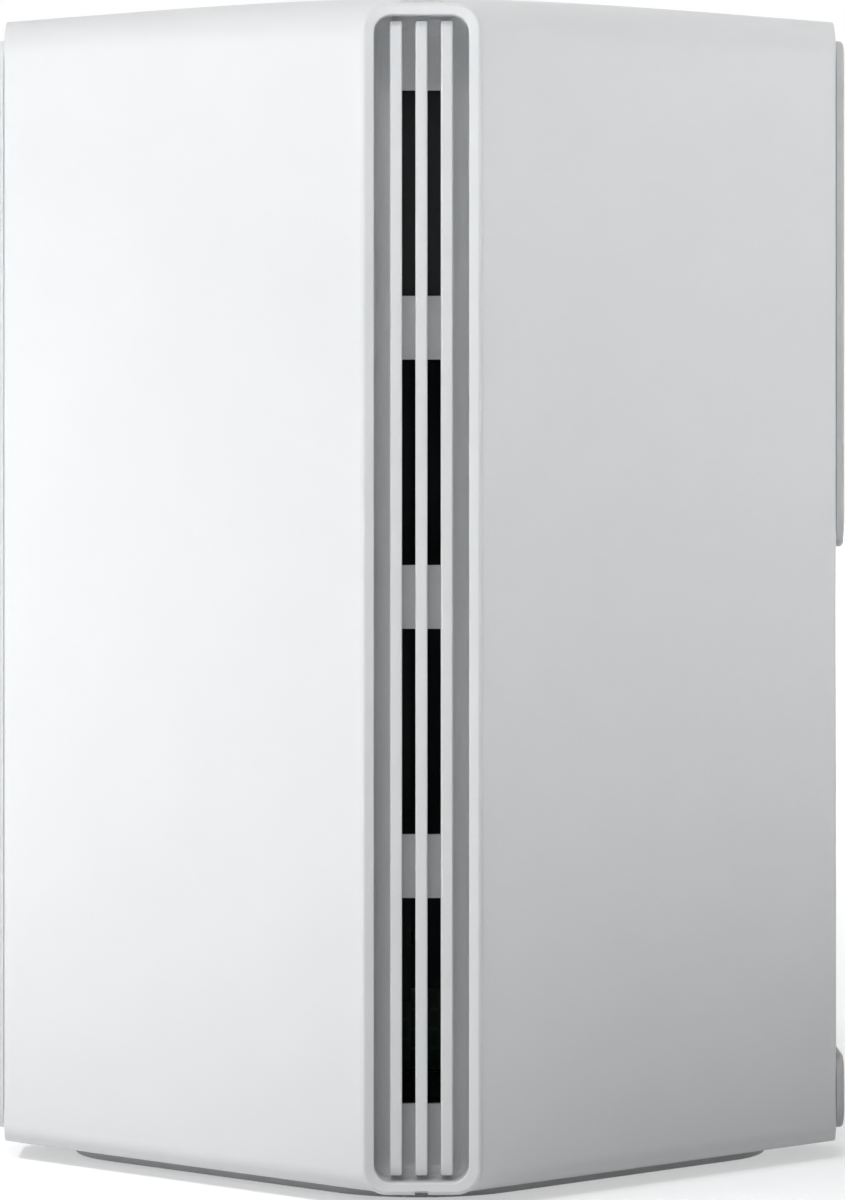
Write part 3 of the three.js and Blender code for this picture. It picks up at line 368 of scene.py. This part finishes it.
def corner_turned(points, quarters):
    """Points made on the +X flat, carried round the axis by quarter turns."""
    x, y, z = (points[..., k] for k in range(3))
    turned = [(x, y), (-y, x), (-x, -y), (y, -x)][quarters % 4]
    return np.stack([*turned, z], -1)


def cutting_block(half_u, low, high, radius, reach, quarters):
    """A closed bar of rounded rectangle section through a corner flat, used only to cut."""
    u, v = rectangle_rings([half_u] * 2, [(high - low) / 2] * 2, [radius] * 2)
    x = np.broadcast_to(np.array(reach)[:, None], u.shape)
    points = corner_turned(np.stack([x, u, v + (high + low) / 2], -1), quarters).reshape(-1, 3)
    mesh = bpy.data.meshes.new("cutter")
    mesh.from_pydata(points.tolist(), [], capped_faces(2, u.shape[1]))
    cutter = bpy.data.objects.new("cutter", mesh)
    scene.collection.objects.link(cutter)
    return cutter


def cut_away(piece, cutters):
    """Takes each cutter out of the piece, makes the result its mesh and removes the cutters."""
    for cutter in cutters:
        cut = piece.modifiers.new("cut", "BOOLEAN")
        cut.object = cutter
        cut.solver = "EXACT"
    bpy.context.view_layer.update()
    mesh = bpy.data.meshes.new_from_object(
        piece.evaluated_get(bpy.context.evaluated_depsgraph_get()))
    piece.modifiers.clear()
    piece.data = mesh
    for cutter in cutters:
        bpy.data.objects.remove(cutter)
    mesh.shade_smooth()
    mesh.set_sharp_from_angle(angle=sharp_over)


slot_half = 0.00795
slot_behind, slot_before = 0.0112, 0.002
slot_reach = (flat - slot_behind, flat + slot_before)
vent_slot_low, vent_slot_high, vent_slot_corner = 0.00305, 0.17585, 0.0036
strip_slot_low, strip_slot_high, strip_slot_corner = 0.0055, 0.1743, 0.0029
vent_slot = (slot_half, vent_slot_low, vent_slot_high, vent_slot_corner, slot_reach)
strip_slot = (slot_half, strip_slot_low, strip_slot_high, strip_slot_corner, slot_reach)
cut_away(shell, [cutting_block(*(strip_slot if k % 2 else vent_slot), k) for k in range(4)])
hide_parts("outer_shell")


# ---------------------------------------------------------------------------
# Vent grilles: one white moulding each, a raised rim round a deep trough with
# four windows in its floor and three long upright fins. It snaps into the slot
# in its corner flat; the notch under the rim is where it is prised out.
# ---------------------------------------------------------------------------
strip_proud = 0.0013
seam = 0.00004
face = flat + strip_proud
rim_round = 0.0006
rim_corner = 0.0038
mouth_lip = 0.00035
dish = 0.0003
trough_width = 0.0139
trough_depth = 0.0088
trough_bottom = face - trough_depth
trough_round = 0.0026
cove_reach = 0.98 * trough_round  # just short of the arc's end, so that no ring folds to a point
trough_wall = 0.0007
trough_floor = 0.001
trough_end = 0.00175
notch_half, notch_tall, notch_corner = 0.00095, 0.00065, 0.0001
fin_count = 3
fin_thick = 0.00175
fin_pitch = 0.00372
fin_recess = 0.0015
fin_soft = 0.0003
fin_end_gap = 0.0008
fin_end_long, fin_end_deep = 0.0024, 0.0014
window_half = fin_pitch - fin_thick / 2
window_end = 0.0106
window_bridge = 0.0094
window_count = 4


def quarter_arc(start, end, bulge_first, steps=5):
    """A quarter ellipse from start to end, leaving along the first or the second coordinate."""
    turn = np.linspace(0, math.pi / 2, steps + 1)
    a, b = np.sin(turn), 1 - np.cos(turn)
    if not bulge_first:
        a, b = b, a
    return np.stack([start[0] + (end[0] - start[0]) * a, start[1] + (end[1] - start[1]) * b], -1)


def supported(profile, near=0.00006):
    """Adds a stop close to both ends of each long straight stretch, so that it shades flat."""
    stops = [profile[0]]
    for a, b in zip(profile[:-1], profile[1:]):
        gap = np.linalg.norm(b - a)
        if gap > 6 * near:
            stops += [a + (b - a) * near / gap, b - (b - a) * near / gap]
        stops.append(b)
    return np.array(stops)


def rim_points(rows, centre, quarters, steps=8):
    """Rings on a corner flat: each row is half width, half height, corner radius and x."""
    half_u, half_v, radius, x = np.asarray(rows).T
    u, v = rectangle_rings(half_u, half_v, radius, steps)
    x = np.broadcast_to(x[:, None], u.shape)
    return corner_turned(np.stack([x, u, v + centre], -1), quarters)


def vent_trough(name, node, quarters):
    """A closed loop of rings: rim, mouth, trough walls, floor edge, and back along the outside.

    The rim's face is dished, falling a little from its outer edge to the mouth.
    """
    low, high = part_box(node)
    centre = (low[2] + high[2]) / 2
    rim_u, rim_v = (high[1] - low[1]) / 2, (high[2] - low[2]) / 2
    mouth_u, mouth_v = trough_width / 2, rim_v - trough_end
    back = trough_bottom - trough_floor
    rim_arc = quarter_arc((0.0, face - rim_round), (rim_round, face), False)
    rows = [(rim_u, rim_v, rim_corner, flat + seam)]
    rows += [(rim_u - a, rim_v - a, rim_corner - a, x) for a, x in rim_arc]
    lip_arc = quarter_arc((mouth_lip, face - dish), (0.0, face - dish - mouth_lip), True)
    rows += [(mouth_u + a, mouth_v + a, trough_round + a, x) for a, x in lip_arc]
    cove = quarter_arc((0.0, trough_bottom + trough_round), (cove_reach, trough_bottom), False, 8)
    rows += [(mouth_u - a, mouth_v - a, trough_round - a, x) for a, x in cove]
    rows += [(*rows[-1][:3], back)]
    outside = quarter_arc((trough_round - trough_wall, back), (-trough_wall, back + trough_round),
                          True, 4)
    rows += [(mouth_u - a, mouth_v - a, trough_round - a, x) for a, x in outside]
    rows += [(*rows[-1][:3], flat + seam)]
    made = rim_points(supported(np.array(rows)), centre, quarters)
    faces = grid_faces(*made.shape[:2], closed_rows=True).tolist()
    piece = finish_piece(name, made, faces, [white_abs], "router")
    beyond = 0.001  # the notch is cut from this far outside the rim
    notch = cutting_block(notch_half, low[2] - beyond, low[2] + notch_tall, notch_corner,
                          (flat + seam / 2, face + beyond), quarters)
    cut_away(piece, [notch])
    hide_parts(node)


def vent_floor(name, node, quarters):
    """The trough's floor plate: two grids of points, every second cell of the middle row open."""
    low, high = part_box(node)
    centre, half = (low[2] + high[2]) / 2, (high[2] - low[2]) / 2 - trough_end
    run = 2 * (half - window_end)
    tall = (run - (window_count - 1) * window_bridge) / window_count
    starts = -run / 2 + np.arange(window_count) * (tall + window_bridge)
    edge_u, edge_v = trough_width / 2 - cove_reach, half - cove_reach
    stops_v = np.concatenate([[-edge_v], np.stack([starts, starts + tall], -1).ravel(), [edge_v]])
    stops_u = np.array([-edge_u, -window_half, window_half, edge_u])
    levels = [trough_bottom, trough_bottom - trough_floor]
    x, y, z = np.meshgrid(levels, stops_u, stops_v + centre, indexing="ij")
    index = np.arange(x.size).reshape(x.shape)
    corners = ((0, 0), (1, 0), (1, 1), (0, 1))
    a, b, c, d = (index[:, i:i + 3, j:j + len(stops_v) - 1] for i, j in corners)
    open_cell = np.zeros(a.shape[1:], bool)
    open_cell[1, 1::2] = True
    front = np.stack([a[0], b[0], c[0], d[0]], -1)[~open_cell]
    rear = np.stack([a[1], d[1], c[1], b[1]], -1)[~open_cell]
    walls = [np.stack([p[0], q[0], q[1], p[1]], -1)[open_cell]
             for p, q in ((a, b), (b, c), (c, d), (d, a))]
    rim = [index[:, :, 0], index[:, -1], index[:, ::-1, -1], index[:, 0, ::-1]]
    walls += [np.stack([p[0, 1:], p[0, :-1], p[1, :-1], p[1, 1:]], -1) for p in rim]
    made = corner_turned(np.stack([x, y, z], -1), quarters)
    faces = np.concatenate([front, rear, *walls]).tolist()
    finish_piece(name, made, faces, [white_abs], "router")


def vent_fins(name, node, quarters):
    """Each fin is a stack of side outlines, with a quarter ellipse at both front ends."""
    low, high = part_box(node)
    centre, half = (low[2] + high[2]) / 2, (high[2] - low[2]) / 2 - trough_end - fin_end_gap
    tip = face - fin_recess
    edge = quarter_arc((fin_soft, -fin_thick / 2), (0.0, -fin_thick / 2 + fin_soft), True, 4)
    profile = supported(np.concatenate([edge, (edge * [1, -1])[::-1]]))
    inset = profile[:, :1]
    turn = np.linspace(0, math.pi / 2, 13)[None, :]
    up = half - fin_end_long + (fin_end_long - inset) * np.sin(turn)
    out = tip - fin_end_deep + (fin_end_deep - inset) * np.cos(turn)
    foot = np.full_like(inset, trough_bottom - trough_floor / 2)
    fin_z = np.hstack([up, half - inset, inset - half, -up[:, ::-1]])
    fin_x = np.hstack([out, foot, foot, out[:, ::-1]])
    rows, columns = fin_z.shape
    one = capped_faces(rows, columns)
    points, faces = [], []
    for k in range(fin_count):
        fin_y = np.broadcast_to(profile[:, 1:] + (k - fin_count // 2) * fin_pitch, fin_z.shape)
        points.append(np.stack([fin_x, fin_y, fin_z + centre], -1))
        faces += [[i + k * fin_z.size for i in face_ids][::-1] for face_ids in one]
    made = corner_turned(np.stack(points), quarters)
    finish_piece(name, made, faces, [white_abs], "router")


for vent_side, vent_quarters in (("right", 0), ("left", 2)):
    vent_node = "vent_grille_" + vent_side
    vent_trough("vent_rim_" + vent_side, vent_node, vent_quarters)
    vent_floor("vent_windows_" + vent_side, vent_node, vent_quarters)
    vent_fins("vent_fins_" + vent_side, vent_node, vent_quarters)


# ---------------------------------------------------------------------------
# Front and rear strips: a white one and two in the panel's pale grey, each a soft-edged
# face with a plug behind it that snaps into its slot. The rear ones are drawn darker
# than the housing as painted shade on their sides. The front one has a small round
# hole for the status light; the rear ones leave the sockets open between them.
# ---------------------------------------------------------------------------
vent_low, vent_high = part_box("vent_grille_right")
rim_half = (vent_high[1] - vent_low[1]) / 2  # the strips are as wide as the grilles
plug_step = 0.0012
plug_depth = 0.006
face_inset = 0.001


def strip_moulding(name, node, quarters, finish, holes=()):
    """A plug, a flange and a face with a rounded edge, closed at the back and the front.

    Each hole is a radius and a height. Its cutter's corners are almost as round as it is wide.
    """
    low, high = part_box(node)
    centre, rim_v = (low[2] + high[2]) / 2, (high[2] - low[2]) / 2
    rim_u = rim_half
    plug = (rim_u - plug_step, rim_v - plug_step, rim_corner - plug_step)
    rows = [(*plug, flat - plug_depth), (*plug, flat + seam),
            (rim_u, rim_v, rim_corner, flat + seam)]
    rows += [(rim_u - a, rim_v - a, rim_corner - a, x)
             for a, x in quarter_arc((0.0, face - rim_round), (rim_round, face), False)]
    rows += [(rim_u - face_inset, rim_v - face_inset, rim_corner - face_inset, face)]
    made = rim_points(supported(np.array(rows)), centre, quarters)
    faces = capped_faces(*made.shape[:2])
    piece = finish_piece(name, made, faces, [finish], "router")
    if holes:
        almost_round = 0.999
        cut_away(piece, [cutting_block(r, z - r, z + r, almost_round * r, slot_reach, quarters)
                         for r, z in holes])
    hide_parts(node)


guide_low, guide_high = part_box("status_light_guide")
light_z = (guide_low[2] + guide_high[2]) / 2
light_hole = 0.0018
pale_grey = moulded_plastic("pale_grey_abs", (0.56, 0.565, 0.57), 0.5)
strip_moulding("front_strip_moulding", "front_strip", 3, white_abs,
               [(light_hole, light_z)])
# The rear strips take the pale grey as painted shade, darker than the white housing.
strip_moulding("rear_strip_upper_moulding", "rear_strip_upper", 1, pale_grey)
strip_moulding("rear_strip_lower_moulding", "rear_strip_lower", 1, pale_grey)


# ---------------------------------------------------------------------------
# Status light guide: a moulded rod of clear acrylic with a frosted domed end,
# pressed into its hole in the front strip.
# ---------------------------------------------------------------------------
def turned_piece(name, profile, centre, away, material, body, sides=48):
    """A profile of radius and height turned about the line through centre that points along away.

    away is a unit vector along X, Y or Z, and height is measured along it from centre.
    """
    radius, height = np.asarray(profile).T
    angle = np.linspace(0, 2 * math.pi, sides, endpoint=False)[None, :]
    away = np.array(away, float)
    across = np.roll(away, 1)
    third = np.cross(away, across)
    points = (np.array(centre, float) + height[:, None, None] * away
              + (radius[:, None] * np.cos(angle))[..., None] * across
              + (radius[:, None] * np.sin(angle))[..., None] * third)
    return finish_piece(name, points, capped_faces(len(radius), sides), [material], body)


def clear_plastic(name, colour, roughness, transmission):
    """Clear resin with a faint cloud in its roughness, so that it scatters unevenly."""
    finish = moulded_plastic(name, colour, roughness, grain=0.0001, depth=0.000005)
    shader = finish.node_tree.nodes["Principled BSDF"]
    shader.inputs["Transmission Weight"].default_value = transmission
    return finish


frosted = clear_plastic("frosted_acrylic", (0.85, 0.88, 0.9), 0.35, 0.6)
lens_radius = 0.0015
lens_dome = 0.0003
lens_turn = np.radians(np.linspace(0, 84, 8))
lens_top = -guide_low[1]
lens_profile = [(lens_radius, -guide_high[1]), (lens_radius, lens_top - lens_dome)]
lens_profile += [(lens_radius * math.cos(t), lens_top - lens_dome + lens_dome * math.sin(t))
                 for t in lens_turn]
lens = turned_piece("status_lens", lens_profile, (0, 0, light_z), (0, -1, 0), frosted,
                    "router")
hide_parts("status_light_guide")


# ---------------------------------------------------------------------------
# Socket panel: a flat plate of pale grey ABS set back between the rear strips,
# punched for three network sockets, the power inlet, the pairing button and
# the reset pin, with every edge slightly softened.
# ---------------------------------------------------------------------------
def softened_copy(name, node, material, width, segments=2):
    """The node's own solid, its points joined, its flat faces made whole and its edges bevelled."""
    same_point, same_plane = 1e-6, math.radians(0.5)
    mesh = nodes[node].data.copy()
    work = bmesh.new()
    work.from_mesh(mesh)
    bmesh.ops.remove_doubles(work, verts=work.verts, dist=same_point)
    bmesh.ops.dissolve_limit(work, angle_limit=same_plane, verts=work.verts, edges=work.edges)
    work.to_mesh(mesh)
    work.free()
    for layer in list(mesh.attributes):
        if layer.name == "custom_normal":
            mesh.attributes.remove(layer)
    mesh.materials.clear()
    mesh.materials.append(material)
    mesh.shade_smooth()
    mesh.set_sharp_from_angle(angle=sharp_over)
    piece = bpy.data.objects.new(name, mesh)
    scene.collection.objects.link(piece)
    bevel = piece.modifiers.new("soft_edges", "BEVEL")
    bevel.width = width
    bevel.segments = segments
    bevel.limit_method = "ANGLE"
    bevel.angle_limit = math.radians(40)
    bevel.harden_normals = True
    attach(piece, nodes[node]["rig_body"])
    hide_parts(node)


softened_copy("socket_panel", "port_panel", pale_grey, width=0.00012)


# ---------------------------------------------------------------------------
# Network sockets: a black nylon body in a folded tin shield, with eight gold
# plated springs that slope up from the mouth, a little over a millimetre apart.
# ---------------------------------------------------------------------------
def sheet_metal(name, colour, roughness, grain_scale, stretch):
    """Metal with fine marks in its roughness, tint and bump, long where stretch is small."""
    finish = bpy.data.materials.new(name)
    finish.use_nodes = True
    parts = finish.node_tree.nodes
    wires = finish.node_tree.links
    shader = parts["Principled BSDF"]
    shader.inputs["Metallic"].default_value = 1.0
    place = parts.new("ShaderNodeTexCoord")
    drawn = parts.new("ShaderNodeMapping")
    drawn.inputs["Scale"].default_value = stretch
    marks = parts.new("ShaderNodeTexNoise")
    marks.inputs["Scale"].default_value = grain_scale
    marks.inputs["Detail"].default_value = 5.0
    gloss = parts.new("ShaderNodeMapRange")
    gloss.inputs["To Min"].default_value = roughness * 0.75
    gloss.inputs["To Max"].default_value = roughness * 1.3
    tint = parts.new("ShaderNodeValToRGB")
    for stop, shade in zip(tint.color_ramp.elements, (0.9, 1.06)):
        stop.color = [min(1.0, c * shade) for c in colour] + [1]
    bump = parts.new("ShaderNodeBump")
    bump.inputs["Strength"].default_value = 0.15
    bump.inputs["Distance"].default_value = 0.00002
    wires.new(place.outputs["Object"], drawn.inputs["Vector"])
    wires.new(drawn.outputs["Vector"], marks.inputs["Vector"])
    wires.new(marks.outputs["Fac"], gloss.inputs["Value"])
    wires.new(gloss.outputs["Result"], shader.inputs["Roughness"])
    wires.new(marks.outputs["Fac"], tint.inputs["Fac"])
    wires.new(tint.outputs["Color"], shader.inputs["Base Color"])
    wires.new(marks.outputs["Fac"], bump.inputs["Height"])
    wires.new(bump.outputs["Normal"], shader.inputs["Normal"])
    return finish


tin = sheet_metal("tin_plate", (0.62, 0.64, 0.66), 0.3, 900.0, (1, 0.15, 1))
gold = sheet_metal("gold_plate", (0.83, 0.62, 0.26), 0.25, 1500.0, (1, 0.2, 1))
black_nylon = moulded_plastic("black_nylon", (0.02, 0.02, 0.022), 0.5)
spring_count = 8
spring_pitch = 0.00102
spring_wide = 0.00042
spring_thick = 0.0003
spring_side = -0.0041
spring_rise = np.array([0, 0.0002, 0.0012, 0.0021, 0.0024, 0.0022, 0.0012])
spring_back = np.array([0.0012, 0.002, 0.0050, 0.0082, 0.0096, 0.0112, 0.0128])  # from the mouth


def contact_springs(name, body_node):
    """Bars swept along one bent line, which rises along X as it runs back, side by side along Z."""
    low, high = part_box(body_node)
    middle_z = (low[2] + high[2]) / 2
    line = np.stack([spring_side + spring_rise, high[1] - spring_back], -1)
    along = np.gradient(line, axis=0)
    along /= np.linalg.norm(along, axis=1)[:, None]
    out = np.stack([-along[:, 1], along[:, 0]], -1) * spring_thick / 2
    corner = np.array([(-1, -1), (1, -1), (1, 1), (-1, 1)])
    place_z = middle_z + (np.arange(spring_count) - (spring_count - 1) / 2) * spring_pitch
    xy = line[None, :, None] + out[None, :, None] * corner[None, None, :, :1]
    z = place_z[:, None, None] + corner[None, None, :, 1] * spring_wide / 2
    shape = (spring_count, len(line), len(corner))
    points = np.stack([np.broadcast_to(xy[..., 0], shape), np.broadcast_to(xy[..., 1], shape),
                       np.broadcast_to(z, shape)], -1)
    one = capped_faces(len(line), len(corner))
    step = len(line) * len(corner)  # points in one spring
    faces = [[i + step * k for i in face_ids] for k in range(spring_count) for face_ids in one]
    finish_piece(name, points, faces, [gold], "router")


for socket in (1, 2, 3):
    softened_copy(f"socket_shield_{socket}", f"lan_shield_{socket}", tin, width=0.00012)
    softened_copy(f"socket_body_{socket}", f"lan_body_{socket}", black_nylon, width=0.00015)
    contact_springs(f"socket_springs_{socket}", f"lan_body_{socket}")


# ---------------------------------------------------------------------------
# Power inlet: a black nylon block with a round bore and a solid tin plated pin
# in its middle, whose tip is rounded.
# ---------------------------------------------------------------------------
softened_copy("power_inlet_block", "power_inlet", black_nylon, width=0.0002)
pin_low, pin_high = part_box("power_inlet_pin")
pin_radius = (pin_high[0] - pin_low[0]) / 2
pin_long = pin_high[1] - pin_low[1]
pin_z = (pin_low[2] + pin_high[2]) / 2
pin_round = 0.0006
pin_turn = np.radians(np.linspace(0, 88, 8))
pin_profile = [(pin_radius, 0.0), (pin_radius, pin_long - pin_round)]
pin_profile += [(pin_radius - pin_round * (1 - math.cos(t)),
                 pin_long - pin_round * (1 - math.sin(t))) for t in pin_turn]
pin = turned_piece("power_pin", pin_profile, (0, pin_low[1], pin_z), (0, 1, 0), tin,
                   "router")
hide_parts("power_inlet_pin")


# ---------------------------------------------------------------------------
# Pairing button: a round cap moulded in white ABS, with a dished face and a rounded
# edge, a flange that holds it behind the panel, and a stem down to its switch.
# ---------------------------------------------------------------------------
cap_low, cap_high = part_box("pairing_button")
cap_long = cap_high[1] - cap_low[1]
cap_radius, cap_round, cap_dish = 0.003, 0.0004, 0.00025
cap_centre = 0.0001  # radius of the tiny flat in the middle of the dish
flange_radius = (cap_high[0] - cap_low[0]) / 2
flange_from, flange_to = 0.003, 0.0042
stem_radius = 0.0015
cap_turn = np.radians(np.linspace(0, 90, 7))
cap_profile = [(stem_radius, 0.0), (stem_radius, flange_from),
               (flange_radius, flange_from), (flange_radius, flange_to),
               (cap_radius, flange_to), (cap_radius, cap_long - cap_round)]
cap_profile += [(cap_radius - cap_round * (1 - math.cos(t)),
                 cap_long - cap_round * (1 - math.sin(t))) for t in cap_turn]
dish_radius = cap_radius - cap_round
cap_profile += [(r, cap_long - cap_dish * (1 - (r / dish_radius) ** 2))
                for r in np.linspace(dish_radius, cap_centre, 9)[1:]]
cap_z = (cap_low[2] + cap_high[2]) / 2
cap = turned_piece("pairing_cap", cap_profile, (0, cap_low[1], cap_z), (0, 1, 0), white_abs,
                   "pairing_push", sides=64)
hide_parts("pairing_button")


# ---------------------------------------------------------------------------
# Base cover and foot: a white moulded plate with a square plinth, and a grey
# rubber pad glued into the plinth over the four screws.
# ---------------------------------------------------------------------------
softened_copy("base_moulding", "base_cover", white_abs, width=0.00025)
rubber = moulded_plastic("grey_rubber", (0.5, 0.51, 0.52), 0.85, grain=0.0006, depth=0.00006)
softened_copy("foot_rubber", "foot_pad", rubber, width=0.0003)


# ---------------------------------------------------------------------------
# Inside: the frame, chips and switches in dark plastic, leads in a black jacket,
# boards in green solder mask, black anodised heat sinks, tinned cans, silicone
# pads and zinc plated screws. Every one keeps its own solid and gets its finish here.
# ---------------------------------------------------------------------------
def circuit_board(name, colour):
    """Solder mask over a faint pattern of tracks: the cells of a brick grid, in two near greens."""
    finish = moulded_plastic(name, colour, 0.35)
    parts = finish.node_tree.nodes
    wires = finish.node_tree.links
    shader = parts["Principled BSDF"]
    place = parts.new("ShaderNodeTexCoord")
    tracks = parts.new("ShaderNodeTexBrick")
    tracks.inputs["Scale"].default_value = 160.0
    tracks.inputs["Mortar Size"].default_value = 0.035
    tracks.inputs["Color1"].default_value = [*colour, 1]
    tracks.inputs["Color2"].default_value = [c * 0.85 for c in colour] + [1]
    tracks.inputs["Mortar"].default_value = [min(1, c * 1.35) for c in colour] + [1]
    turn = parts.new("ShaderNodeMapping")
    turn.inputs["Rotation"].default_value = (0, math.pi / 2, 0)
    wires.new(place.outputs["Object"], turn.inputs["Vector"])
    wires.new(turn.outputs["Vector"], tracks.inputs["Vector"])
    wires.new(tracks.outputs["Color"], shader.inputs["Base Color"])
    return finish


green_mask = circuit_board("green_solder_mask", (0.02, 0.11, 0.06))
anodised = sheet_metal("black_anodised", (0.03, 0.031, 0.034), 0.45, 700.0, (1, 1, 0.1))
zinc = sheet_metal("zinc_plate", (0.5, 0.52, 0.55), 0.35, 1200.0, (1, 1, 1))
silicone = moulded_plastic("grey_silicone", (0.2, 0.23, 0.27), 0.8, grain=0.0008, depth=0.00005)
frame_black = moulded_plastic("frame_black", (0.028, 0.029, 0.031), 0.6)
lamp_resin = clear_plastic("lamp_resin", (0.8, 0.78, 0.6), 0.2, 0.3)
finish_of_slot = {
    "white_housing": white_abs, "grey_panel": pale_grey, "foot_rubber": rubber, "shield_tin": tin,
    "screw_steel": zinc, "dark_aluminium": anodised, "thermal_silicone": silicone,
    "circuit_board": green_mask, "clear_light_guide": frosted, "lamp_resin": lamp_resin,
    "black_plastic": frame_black, "cable_jacket": black_nylon,
}
for entry in frame["record"]["subparts"]:
    held = nodes[entry["node"]]
    for place in held.material_slots:
        place.material = finish_of_slot[entry["material_slot"]]
